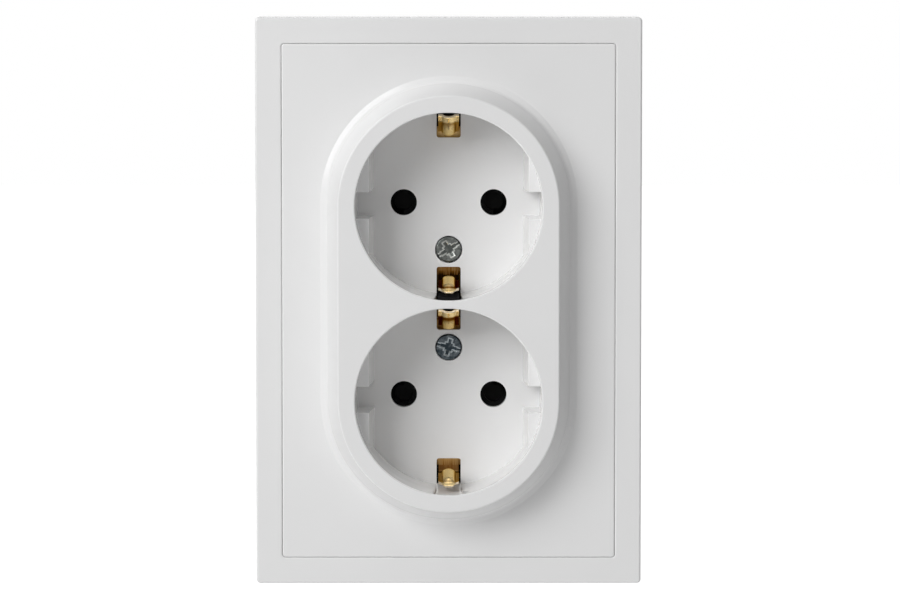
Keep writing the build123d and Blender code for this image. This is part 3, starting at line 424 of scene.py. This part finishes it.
def screw_shape(
    turn, recess, head_r, head_thick, crown, chamfer, shank_r, root_r, pitch, long, lines
):
    """A whole screw as points of x, distance from the head's top and z, with its faces and its painted
    light.
    The head's top is a disc with a low crown, less its recess, on lines that run with the recess and end
    at the outline. The rest are rings at the outline's angles. The thread is a ridge whose height follows
    a triangle wave of the distance along the axis less the share of a turn, so it climbs one pitch a
    turn; the last ring closes in a point."""
    top_r = head_r - chamfer
    grid = head_lines(top_r, recess, lines)
    half = np.sqrt(np.clip(top_r**2 - grid**2, 0.0, None))
    along = np.clip(grid[:, None], -half, half)
    across = np.broadcast_to(grid, along.shape)
    pressed, bright = cross_recess(along, across, **recess)
    top = crown * (along**2 + across**2) / head_r**2 + pressed
    right = np.arctan2(grid, half)
    angle = np.concatenate([right, np.pi - right[-2:0:-1]])
    flat = np.ones_like(angle)
    brink, brink_bright = cross_recess(top_r * np.cos(angle), top_r * np.sin(angle), **recess)
    brink = crown * (top_r / head_r) ** 2 + brink
    bend = HEAD_BEND * chamfer
    under = head_thick - crown
    rim_r = [top_r, head_r - bend, head_r, head_r, head_r - HEAD_BREAK_IN, shank_r + NECK_FLARE]
    rim = crown + np.array([bend, chamfer, under - HEAD_BREAK, under, under])
    end = long - PLAIN_END
    axis = np.arange(head_thick + THREAD_GAP, end, pitch / THREAD_STEPS)[:, None]
    phase = (axis / pitch - (angle + turn) / (2 * np.pi)) % 1.0
    ridge = np.clip(RIDGE_TOP - RIDGE_SLOPE * np.abs(phase - 0.5), 0.0, 1.0)
    fade_in = np.clip((axis - head_thick) / pitch, 0.0, 1.0)
    fade_out = np.clip((end - axis) / pitch, 0.0, 1.0)
    shank = root_r + (shank_r - root_r) * ridge * (fade_in * fade_out)
    tip_r = root_r * np.array(TIP_SHARES)
    tip = long - np.array(TIP_BACK)
    radius = np.concatenate([np.array(rim_r)[:, None] * flat, shank, tip_r[:, None] * flat])
    rings = np.concatenate([rim, axis[:, 0], tip])
    depth = np.concatenate([brink[None], rings[:, None] * flat])
    # The head's side and the shank take the painted shade
    painted_light = np.full(depth.shape, SCREW_SHADE)
    painted_light[0] = brink_bright
    along = np.concatenate([along.ravel(), (radius * np.cos(angle)).ravel()])
    across = np.concatenate([across.ravel(), (radius * np.sin(angle)).ravel()])
    x = along * np.cos(turn) - across * np.sin(turn)
    z = along * np.sin(turn) + across * np.cos(turn)
    points = np.stack([x, np.concatenate([top.ravel(), depth.ravel()]), z], axis=1)
    top_faces = grid_faces(*top.shape).reshape(-1, 4)
    ring_faces = grid_faces(*depth.shape, wrap=True, offset=top.size).reshape(-1, 4)
    faces = np.concatenate([top_faces, ring_faces])
    return points, faces, np.concatenate([bright.ravel(), painted_light.ravel()])


rear_points = []
rear_faces = []
for number, (x, z) in enumerate(REAR_PLACES):
    places, faces, _ = screw_shape(REAR_TURN + number, REAR_RECESS, **REAR_SCREW)
    rear_points.append(np.array([x, REAR_TOP_DEPTH, z]) + places * np.array(REAR_FACING))
    rear_faces.append(faces + number * len(places))
rear_screws = make_piece(
    "rear_cover_threaded_screws",
    np.concatenate(rear_points),
    np.concatenate(rear_faces),
    plated_steel,
    "zinc_steel",
)
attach(rear_screws, "socket")
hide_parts("rear_cover_screws")

# Earth link and earth rivets
# A brass strip joins the two earth brackets, carries the tapped collars for the cover screws and is folded
# up as the earth terminal's wall; it has tarnished dark. Two brass rivets close it to the brackets.

dark_brass = finish_material(
    "dark_brass", (0.09, 0.05, 0.013), rough=0.36, metal=1.0, glance=(0.5, 0.34, 0.14)
)
mottle(
    dark_brass,
    (0.05, 0.026, 0.006),
    (0.13, 0.075, 0.02),
    cells=1400.0,
    detail=4.0,
    stretch=(1.0, 0.1, 0.1),
)
gloss(dark_brass, 0.28, 0.46, cells=2200.0, stretch=(1.0, 0.1, 0.1))
texture(dark_brass, depth=0.00001, cells=3200.0, detail=2.0, stretch=(1.0, 0.05, 0.05))
dress(dark_brass, "earth_link")
dress(strip_brass, "earth_rivets")

# Earth brackets
# Each is one strip of springy brass, folded into a U under its well. Both arms are embossed with a flat
# rib, which the plugs rub bright while the rest tarnishes to brown, and bent outwards at the tip; the lower
# one of each pair ends in a rounded tongue. The sheared edges stay pale. On the arms towards the outlet's
# middle the wings beside the rib are painted near black as painted shade, and the strip is darker towards
# the outlet's middle.

STRIP_LEVEL = 4.7
STRIP_THICK = 0.55
STRIP_EDGE = 0.07
STRIP_HALF = 4.0
STRIP_END = 15.8
STRIP_HOLES = [(-10.0, 1.72), (-5.9, 1.29)]
HOLE_SPACE = 2.05
ARM_HALF = 2.15
ARM_RIB_HALF = 0.82
ARM_FLANK = 0.6
ARM_RIB_RISE = 0.6
ARM_WING_DROP = 0.35
ARM_RIB_START = 6.0
ARM_RIB_FULL = 9.0
ARM_RIB_CROWN = 0.25
ARM_NOSE_END = 14.6
ARM_BEND_R = 1.0
ARM_FOOT = [(15.8, 4.7), (18.0, 4.7), (18.0, -3.5)]
ARM_CREST_DEPTH = -10.0
ARM_TIP = [(17.6, -14.3), (18.75, -15.55)]
PLAIN_ARM = {
    "crest": 15.1,
    "nose_start": 12.0,
    "nose_left": 0.55,
    "tip_rub": 10.0,
    "tip_cut": 0.0,
    "round_off": 0.0,
    "ears": 0.0,
}
TONGUE_ARM = {
    "crest": 15.8,
    "nose_start": 13.2,
    "nose_left": 0.2,
    "tip_rub": 4.0,
    "tip_cut": 0.6,
    "round_off": 0.55,
    "ears": 1.33,
}
TONGUE_HALF = 1.25
WELL_MIDDLE = 20.4
RIB_LINES = 6
FLANK_LINES = 8
WING_LINES = [1.7, 1.88, 2.02, 2.1]
OUTER_LINES = [2.6, 3.3]
END_STEPS = 5
STRIP_STEPS = 16
HOLE_SIDE_STEPS = 7
HOLE_RINGS = 5
BEND_STEPS = 9
PATH_STEPS = 800
ARM_ROWS = 160
STRIP_WEAR = 0.36
# The strip's colour share falls by this much a millimetre towards the outlet's middle, so it is darker
# there
STRIP_TONE_SLOPE = 0.006
# Tarnish of the wings beside the rib, on the arm away from the outlet's middle and on the arm towards it;
# on the arm towards the middle it is painted shade, darker than the tarnish
WING_TARNISH_AND_SHADE = {1.0: 0.32, -1.0: -0.06}
RIB_WEAR = 0.85
RUB_EDGE = 2.5
# Brass colour steps from near black to pale gold; the near-black step is painted shade on the wings of the
# arms towards the outlet's middle
BRASS_STEPS = [(0.08, (0.012, 0.005, 0.001)), (0.36, (0.2, 0.085, 0.012)), (1.0, (0.9, 0.7, 0.35))]


def strip_lines():
    """Lines across a strip: even over the rib, close on its flanks and at the arm's edges, wide
    outside."""
    rib = np.linspace(0.0, ARM_RIB_HALF, RIB_LINES)[:-1]
    flank = np.linspace(ARM_RIB_HALF, ARM_RIB_HALF + ARM_FLANK, FLANK_LINES)
    half = np.concatenate([rib, flank, WING_LINES, [ARM_HALF], OUTER_LINES, [STRIP_HALF]])
    return np.concatenate([-half[:0:-1], half])


def strip_patch(lines, start, stop, count):
    """A plain rectangle of strip at its level, between two distances from the well's middle, as points
    of distance along, level and distance across."""
    across, along = np.meshgrid(lines, np.linspace(start, stop, count), indexing="xy")
    return np.stack([along, np.full_like(along, STRIP_LEVEL), across], axis=-1)


def holed_patch(lines, start, stop, middle, hole_r):
    """A rectangle of strip round one hole: rings that pass evenly from the hole's circle to the outline,
    with each outline point joined to the circle's point in the same direction from the hole's middle."""
    side = np.linspace(start, stop, HOLE_SIDE_STEPS)
    outline = np.concatenate(
        [
            np.stack([lines, np.full_like(lines, start)], axis=1)[:-1],
            np.stack([np.full_like(side, lines[-1]), side], axis=1)[:-1],
            np.stack([lines[::-1], np.full_like(lines, stop)], axis=1)[:-1],
            np.stack([np.full_like(side, lines[0]), side[::-1]], axis=1)[:-1],
        ]
    )
    centre = np.array([0.0, middle])
    away = outline - centre
    circle = centre + hole_r * away / np.linalg.norm(away, axis=1, keepdims=True)
    share = np.linspace(0.0, 1.0, HOLE_RINGS)[:, None, None]
    rings = circle + share * (outline - circle)
    level = np.full(rings.shape[:2], STRIP_LEVEL)
    return np.stack([rings[..., 1], level, rings[..., 0]], axis=-1)


def ease(share):
    """An S from nought to one: three times the square less twice the cube, flat beyond both ends."""
    share = np.clip(share, 0.0, 1.0)
    return share * share * (3.0 - 2.0 * share)


def arm_sheet(lines, wing_tarnish_and_shade, crest, nose_start, nose_left, tip_rub, tip_cut, round_off, ears):
    """One arm's middle surface as reach, depth and distance across, and its wear and painted shade. The
    folded path runs along it. Each line across stops short of the tip: by the tip's cut, by a fourth power
    of the distance from the middle as far as the tongue's edge, and evenly more beyond it. From below the
    crest the middle rises in an S to the rib, which has a crown that follows the square of the distance,
    and falls in an S beyond the rib's edge, down to the wing. Towards the crease this relief sinks by half
    a cosine wave to the share of it that is left at the tip. The rib is worn where it stands out, and so is
    the tip beyond it, by a power of the way along the nose. Elsewhere the arm keeps its wing share, which
    is tarnish on the arm away from the outlet's middle and painted shade on the arm towards it."""
    across = lines[np.abs(lines) <= ARM_HALF]
    corners = [*ARM_FOOT, (crest, ARM_CREST_DEPTH), *ARM_TIP]
    path = even_steps(rounded_path(corners, ARM_BEND_R, BEND_STEPS), PATH_STEPS)
    along = np.linspace(0.0, 1.0, len(path))
    total = np.linalg.norm(np.diff(path, axis=0), axis=1).sum()
    on_tongue = np.clip(np.abs(across) / TONGUE_HALF, 0.0, 1.0)
    past_tongue = np.clip(np.abs(across) - TONGUE_HALF, 0.0, None)
    short = tip_cut + round_off * on_tongue**4 + ears * past_tongue
    rows = np.linspace(0.0, 1.0, ARM_ROWS)[:, None] * (1.0 - short / total)
    reach = np.interp(rows, along, path[:, 0])
    depth = np.interp(rows, along, path[:, 1])
    run = np.gradient(path, axis=0)
    run = run / np.linalg.norm(run, axis=1, keepdims=True)
    inward_reach = np.interp(rows, along, run[:, 1])
    inward_depth = np.interp(rows, along, -run[:, 0])
    swell = ease((-depth - ARM_RIB_START) / (ARM_RIB_FULL - ARM_RIB_START))
    ended = np.clip((-depth - nose_start) / (ARM_NOSE_END - nose_start), 0.0, 1.0)
    nose = 0.5 + 0.5 * np.cos(np.pi * ended)
    on_rib = np.clip(np.abs(across) / ARM_RIB_HALF, 0.0, 1.0)
    flank = ease(np.clip(np.abs(across) - ARM_RIB_HALF, 0.0, None) / ARM_FLANK)
    flank_fall = ARM_RIB_RISE + ARM_WING_DROP - ARM_RIB_CROWN
    section = ARM_RIB_RISE - ARM_RIB_CROWN * on_rib**2 - flank_fall * flank
    rise = swell * (nose_left + (1.0 - nose_left) * nose) * section
    tone_share = np.maximum(swell * nose * np.clip(1.0 - RUB_EDGE * flank, 0.0, 1.0), ended**tip_rub)
    # The wing share is tarnish, and painted shade on the arms towards the outlet's middle; the rubbed share
    # is wear
    wear_and_light = wing_tarnish_and_shade + (RIB_WEAR - wing_tarnish_and_shade) * tone_share
    across = np.broadcast_to(across, reach.shape)
    sheet = [reach + rise * inward_reach, depth + rise * inward_depth, across]
    return np.stack(sheet, axis=-1), wear_and_light


def with_wear_and_light(material, pattern, share):
    """The piece's own wear and painted light, with a share of a pattern added to it."""
    tree = material.node_tree
    own = tree.nodes.new("ShaderNodeAttribute")
    own.attribute_name = "wear_and_light"
    add = tree.nodes.new("ShaderNodeMath")
    add.operation = "MULTIPLY_ADD"
    add.inputs[1].default_value = share
    tree.links.new(pattern, add.inputs[0])
    tree.links.new(own.outputs["Fac"], add.inputs[2])
    return add.outputs[0]


def colour_steps(material, pattern, steps):
    """Carries a pattern to a shader's colour through steps of a place from nought to one and its
    colour."""
    tree = material.node_tree
    ramp = tree.nodes.new("ShaderNodeValToRGB")
    stops = ramp.color_ramp.elements
    stops.remove(stops[1])
    for number, (place, colour) in enumerate(steps):
        step = stops[0] if number == 0 else stops.new(place)
        step.position = place
        step.color = (*colour, 1.0)
    tree.links.new(pattern, ramp.inputs["Fac"])
    tree.links.new(ramp.outputs["Color"], tree.nodes["Principled BSDF"].inputs["Base Color"])


sprung_brass = finish_material(
    "sprung_brass", (0.5, 0.34, 0.12), rough=0.28, metal=1.0, glance=(0.6, 0.38, 0.13)
)
brass_streaks = grain(sprung_brass, cells=2600.0, detail=4.0, stretch=(1.0, 0.05, 0.05))
# Wear, tarnish and painted shade of the brass, read from each point's own share with streaks added
brass_wear_and_shade = with_wear_and_light(sprung_brass, brass_streaks, share=0.3)
colour_steps(sprung_brass, brass_wear_and_shade, BRASS_STEPS)
vary(sprung_brass, brass_wear_and_shade, "Roughness", low=0.38, high=0.2, start=0.1, stop=1.0)
relief(sprung_brass, brass_streaks, depth=0.00001)
sheared_brass = finish_material("sheared_brass", (0.86, 0.74, 0.54), rough=0.3, metal=1.0)
mottle(sheared_brass, (0.74, 0.6, 0.38), (0.94, 0.84, 0.68), cells=4200.0)
gloss(sheared_brass, 0.22, 0.4, cells=5200.0)
texture(sheared_brass, depth=0.000012, cells=6000.0, detail=2.0)

strip_across = strip_lines()
for well, side in (("upper", 1.0), ("lower", -1.0)):
    patches = []
    edge = -STRIP_END
    for middle, hole_r in STRIP_HOLES:
        start, stop = middle - HOLE_SPACE, middle + HOLE_SPACE
        if edge < start:
            patches.append((strip_patch(strip_across, edge, start, END_STEPS), None, False))
        patches.append((holed_patch(strip_across, start, stop, middle, hole_r), None, True))
        edge = stop
    patches.append((strip_patch(strip_across, edge, STRIP_END, STRIP_STEPS), None, False))
    for way in (1.0, -1.0):
        shape = TONGUE_ARM if way * side < 0 else PLAIN_ARM
        arm, tone_share = arm_sheet(strip_across, WING_TARNISH_AND_SHADE[way], **shape)
        patches.append((arm * np.array([way, 1.0, 1.0]), tone_share, False))
    bracket_points = []
    bracket_faces = []
    bracket_wear_and_shade = []
    first = 0
    for patch, tone_share, wraps in patches:
        height = side * (WELL_MIDDLE + patch[..., 0])
        place = np.stack([patch[..., 2], patch[..., 1], height], axis=-1).reshape(-1, 3)
        faces = grid_faces(*patch.shape[:2], wrap=wraps, offset=first).reshape(-1, 4)
        if tone_share is None:
            tone_share = STRIP_WEAR + STRIP_TONE_SLOPE * patch[..., 0]
        bracket_points.append(place)
        bracket_faces.append(faces)
        bracket_wear_and_shade.append(tone_share.ravel())
        first += len(place)
    bracket = make_piece(
        f"earth_strip_{well}",
        np.concatenate(bracket_points),
        np.concatenate(bracket_faces),
        sprung_brass,
        "brass",
        sharp=30.0,
        wear_and_light=np.concatenate(bracket_wear_and_shade),
    )
    thicken(bracket, STRIP_THICK, STRIP_EDGE, cut_finish=sheared_brass)
    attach(bracket, "socket")
    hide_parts(f"earth_bracket_{well}")

# Shutters
# Black satin mouldings that close the pin holes, with a round dimple where a pin first meets them. They
# slide on rails behind the centre plate and open away from the middle of the outlet.

shutter_black = finish_material("shutter_black", (0.006, 0.006, 0.006), rough=0.4, ior=1.12)
mottle(shutter_black, (0.004, 0.004, 0.004), (0.008, 0.008, 0.008), cells=500.0)
gloss(shutter_black, 0.34, 0.5, cells=2200.0, detail=2.0)
texture(shutter_black, depth=0.000012, strength=0.6, cells=4000.0, detail=2.0)
dress(shutter_black, "shutter_upper", "shutter_lower")

# Shutter springs
# Coils of bright drawn wire between each shutter's beam and the post on the centre plate, with a closed
# turn at both ends.

COIL_R = 1.7
WIRE_R = 0.22
COIL_DEPTH = 2.35
COIL_START = 21.86
COIL_STOP = 32.34
COIL_TURNS = 7.0
COIL_CLOSED = 0.8
COIL_CREEP = 0.06
COIL_POINT = 300.0
COIL_STEPS = 400
WIRE_SIDES = 14


def coil_tube(side):
    """A wire's circle carried along a coil. The coil turns evenly while its height follows a curve that
    only creeps in the first and last turn, and the circle shrinks to a point at both ends."""
    t = np.linspace(0.0, 1.0, COIL_STEPS)
    turn = 2 * np.pi * COIL_TURNS * t
    lift = np.clip((t * COIL_TURNS - COIL_CLOSED) / (COIL_TURNS - 2 * COIL_CLOSED), 0.0, 1.0)
    lift = COIL_CREEP * t + (1.0 - COIL_CREEP) * lift
    height = COIL_START + WIRE_R + (COIL_STOP - COIL_START - 2 * WIRE_R) * lift
    outward = np.stack([np.cos(turn), np.sin(turn), np.zeros_like(turn)], axis=1)
    centre = COIL_R * outward + np.stack([np.zeros_like(t), np.full_like(t, COIL_DEPTH), height], axis=1)
    run = np.gradient(centre, axis=0)
    run /= np.linalg.norm(run, axis=1, keepdims=True)
    upward = np.cross(run, outward)
    angle = np.arange(WIRE_SIDES) * 2 * np.pi / WIRE_SIDES
    thick = WIRE_R * np.sqrt(np.clip(np.minimum(t, 1.0 - t) * COIL_POINT, 0.0, 1.0))
    ring = np.cos(angle)[:, None] * outward[:, None] + np.sin(angle)[:, None] * upward[:, None]
    points = centre[:, None] + thick[:, None, None] * ring
    return points * np.array([1.0, 1.0, side]), grid_faces(len(t), len(angle), wrap=True)


for well, side in (("upper", 1.0), ("lower", -1.0)):
    coil = make_piece(f"shutter_coil_{well}", *coil_tube(side), leaf_steel, "spring_steel")
    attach(coil, "socket")
    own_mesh(coil)
    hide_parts(f"shutter_spring_{well}")

# Surround frame and centre plate
# Both are white gloss mouldings; the frame snaps round the plate, which two screws hold. The tool is
# polished, so the surface only keeps a faint flow in its gloss and the slight waviness of moulded plastic.

gloss_white = finish_material("gloss_white", (0.87, 0.87, 0.87), rough=0.14, ior=1.36)
mottle(gloss_white, (0.863, 0.863, 0.863), (0.877, 0.877, 0.877), cells=60.0)
gloss(gloss_white, 0.11, 0.17, cells=300.0)
texture(gloss_white, depth=0.000002, strength=0.5, cells=260.0, detail=1.0)
dress(gloss_white, "cover_frame", "centre_plate")

# Window web
# Behind the tongue of the lower well's outer arm the same moulding closes the earth window with a thin
# sloped web, which runs from the mouth's flare down past the tongue.

WEB_FRONT = (20.12, -19.2)
WEB_BACK = (19.1, -3.0)
WEB_HALF = 2.6
WEB_FLARE = 0.52
WEB_THICK = 0.4
WEB_EDGE = 0.05
WEB_LINES = 9


def web_sheet():
    """A flat sheet with the same number of lines each way, which slopes evenly from its front line to its
    back line and widens evenly by the flare over the front half."""
    share = np.linspace(0.0, 1.0, WEB_LINES)
    line = np.array(WEB_FRONT) + share[:, None] * (np.array(WEB_BACK) - np.array(WEB_FRONT))
    half = WEB_HALF + WEB_FLARE * np.clip(1.0 - 2.0 * share, 0.0, 1.0)
    points = np.empty((WEB_LINES, WEB_LINES, 3))
    points[..., 0] = half[:, None] * (2.0 * share - 1.0)
    points[..., 1] = line[:, 1, None]
    points[..., 2] = -WELL_MIDDLE - line[:, 0, None]
    return points, grid_faces(WEB_LINES, WEB_LINES)


web = make_piece("lower_window_web", *web_sheet(), gloss_white, "white_gloss")
thicken(web, WEB_THICK, WEB_EDGE)
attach(web, "socket")

# Cover screws
# Two zinc-plated screws go through the well floors into the tapped collars of the earth link. Their flat
# heads are turned and pressed with a slot and a cross. The plating is painted dark grey as a painted
# reflection of dark surroundings, darker and bluer in the lower well as painted shade, with painted
# highlights at the recess's rims and painted shade inside the recess and round the head's side.

COVER_TOP_DEPTH = -2.3
COVER_PLACES = {"upper": (10.4, 32.0), "lower": (-10.4, -15.0)}
COVER_SCREW = {
    "head_r": 2.7,
    "head_thick": 1.5,
    "crown": 0.0,
    "chamfer": 0.22,
    "shank_r": 1.48,
    "root_r": 1.2,
    "pitch": 0.5,
    "long": 11.45,
    "lines": 72,
}
COVER_RECESS = {
    "arm_half": 0.47,
    "arm_reach": 1.85,
    "pit_half": 0.9,
    "deep": 1.0,
    "slot_half": 0.34,
    "slot_depth": 0.6,
}
# Painted dark colour of the cover screws, a painted reflection, darker and bluer in the lower well as
# painted shade, and the painted highlight colour at the recess's rims
ZINC_PAINTED_DARK = {"upper": (0.065, 0.071, 0.067), "lower": (0.02, 0.028, 0.034)}
ZINC_PAINTED_GLINT = {"upper": (0.7, 0.71, 0.68), "lower": (0.52, 0.56, 0.58)}

for well, (height, turn) in COVER_PLACES.items():
    zinc = finish_material(f"screw_zinc_{well}", ZINC_PAINTED_DARK[well], rough=0.3, metal=1.0)
    # Painted light: a dark reflection, shade in the recess and round the head, highlights at the rims
    zinc_painted_light = with_wear_and_light(zinc, grain(zinc, cells=1500.0, detail=5.0), share=0.4)
    vary(zinc, zinc_painted_light, "Base Color", ZINC_PAINTED_DARK[well], ZINC_PAINTED_GLINT[well], start=0.2, stop=1.1)
    gloss(zinc, 0.2, 0.42, cells=4200.0)
    texture(zinc, depth=0.00002, cells=3000.0, detail=4.0)
    places, faces, painted_light = screw_shape(math.radians(turn), COVER_RECESS, **COVER_SCREW)
    screw = make_piece(
        f"cover_threaded_screw_{well}",
        np.array([0.0, COVER_TOP_DEPTH, height]) + places,
        faces,
        zinc,
        "zinc_steel",
        wear_and_light=painted_light,
    )
    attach(screw, "socket")
    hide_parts(f"cover_screw_{well}")

# Floor, light and camera
# A pale floor lies well under the outlet, in an even white surround. One large soft lamp at the upper left
# lights it, with a weak fill above and another below. The camera looks slightly down from the front.

FLOOR_DROP = 0.6
FLOOR_REACH = 12.0
FLOOR_LINES = 9
FLOOR_GLOW = 0.85
WHITE = (1.0, 1.0, 1.0, 1.0)
SURROUND_LIGHT = 0.245
SURROUND_SEEN = 1.0
LAMPS = {
    "key_lamp": {"place": (-0.579, -0.707, 0.406), "size": 0.62, "power": 6.55},
    "top_fill": {"place": (0.0, -0.2, 0.55), "size": 0.35, "power": 0.3},
    "low_fill": {"place": (0.0, -0.16, -0.5), "size": 0.35, "power": 0.45},
}
CAMERA_PLACE = (0.00029, -0.966, 0.0739)
CAMERA_DOWN = 4.406


def floor_grid():
    """A flat square at the floor's level, in metres, with the same number of lines each way: x and y run
    evenly over its reach."""
    line = np.linspace(-FLOOR_REACH, FLOOR_REACH, FLOOR_LINES)
    x, y = np.meshgrid(line, line, indexing="ij")
    points = np.stack([x, y, np.full_like(x, -FLOOR_DROP)], axis=-1)
    return points.reshape(-1, 3), grid_faces(FLOOR_LINES, FLOOR_LINES).reshape(-1, 4)


def looked_at(tree):
    """One where the camera, a glossy surface or a clear one looks, and nought where light only
    scatters: the greatest of the three kinds of ray."""
    ray = tree.nodes.new("ShaderNodeLightPath")
    seen = ray.outputs["Is Camera Ray"]
    for kind in ("Is Glossy Ray", "Is Transmission Ray"):
        either = tree.nodes.new("ShaderNodeMath")
        either.operation = "MAXIMUM"
        tree.links.new(seen, either.inputs[0])
        tree.links.new(ray.outputs[kind], either.inputs[1])
        seen = either.outputs[0]
    return seen


floor_points, floor_faces = floor_grid()
floor_mesh = bpy.data.meshes.new("floor")
floor_mesh.from_pydata(floor_points.tolist(), [], floor_faces.tolist())
floor = bpy.data.objects.new("floor", floor_mesh)
bpy.context.scene.collection.objects.link(floor)

floor_pale = finish_material("floor_pale", (0.86, 0.86, 0.86), rough=0.8)
gloss(floor_pale, 0.75, 0.85, cells=3.0)
floor_tree = floor_pale.node_tree
floor_glow = floor_tree.nodes.new("ShaderNodeMath")
floor_glow.operation = "MULTIPLY"
floor_glow.inputs[1].default_value = FLOOR_GLOW
floor_tree.links.new(looked_at(floor_tree), floor_glow.inputs[0])
floor_shader = floor_tree.nodes["Principled BSDF"]
floor_shader.inputs["Emission Color"].default_value = WHITE
floor_tree.links.new(floor_glow.outputs[0], floor_shader.inputs["Emission Strength"])
floor_mesh.materials.append(floor_pale)

surround = bpy.data.worlds.new("surround")
surround.use_nodes = True
bpy.context.scene.world = surround
sky = surround.node_tree
sky_level = sky.nodes.new("ShaderNodeMapRange")
sky_level.inputs["To Min"].default_value = SURROUND_LIGHT
sky_level.inputs["To Max"].default_value = SURROUND_SEEN
sky.links.new(looked_at(sky), sky_level.inputs["Value"])
sky.nodes["Background"].inputs["Color"].default_value = WHITE
sky.links.new(sky_level.outputs["Result"], sky.nodes["Background"].inputs["Strength"])

for name, lamp in LAMPS.items():
    lamp_light = bpy.data.lights.new(name, "AREA")
    lamp_light.shape = "SQUARE"
    lamp_light.size = lamp["size"]
    lamp_light.energy = lamp["power"]
    lamp_object = bpy.data.objects.new(name, lamp_light)
    lamp_object.location = lamp["place"]
    lamp_object.rotation_euler = (-lamp_object.location).to_track_quat("-Z", "Y").to_euler()
    bpy.context.scene.collection.objects.link(lamp_object)

camera_lens = bpy.data.cameras.new("photo_view")
camera_lens.sensor_width = 36.0
camera_lens.lens = 182.3
camera = bpy.data.objects.new("photo_view", camera_lens)
camera.location = CAMERA_PLACE
camera.rotation_euler = (math.radians(90.0 - CAMERA_DOWN), 0.0, 0.0)
bpy.context.scene.collection.objects.link(camera)
bpy.context.scene.camera = camera
bpy.context.scene.view_settings.view_transform = "Standard"
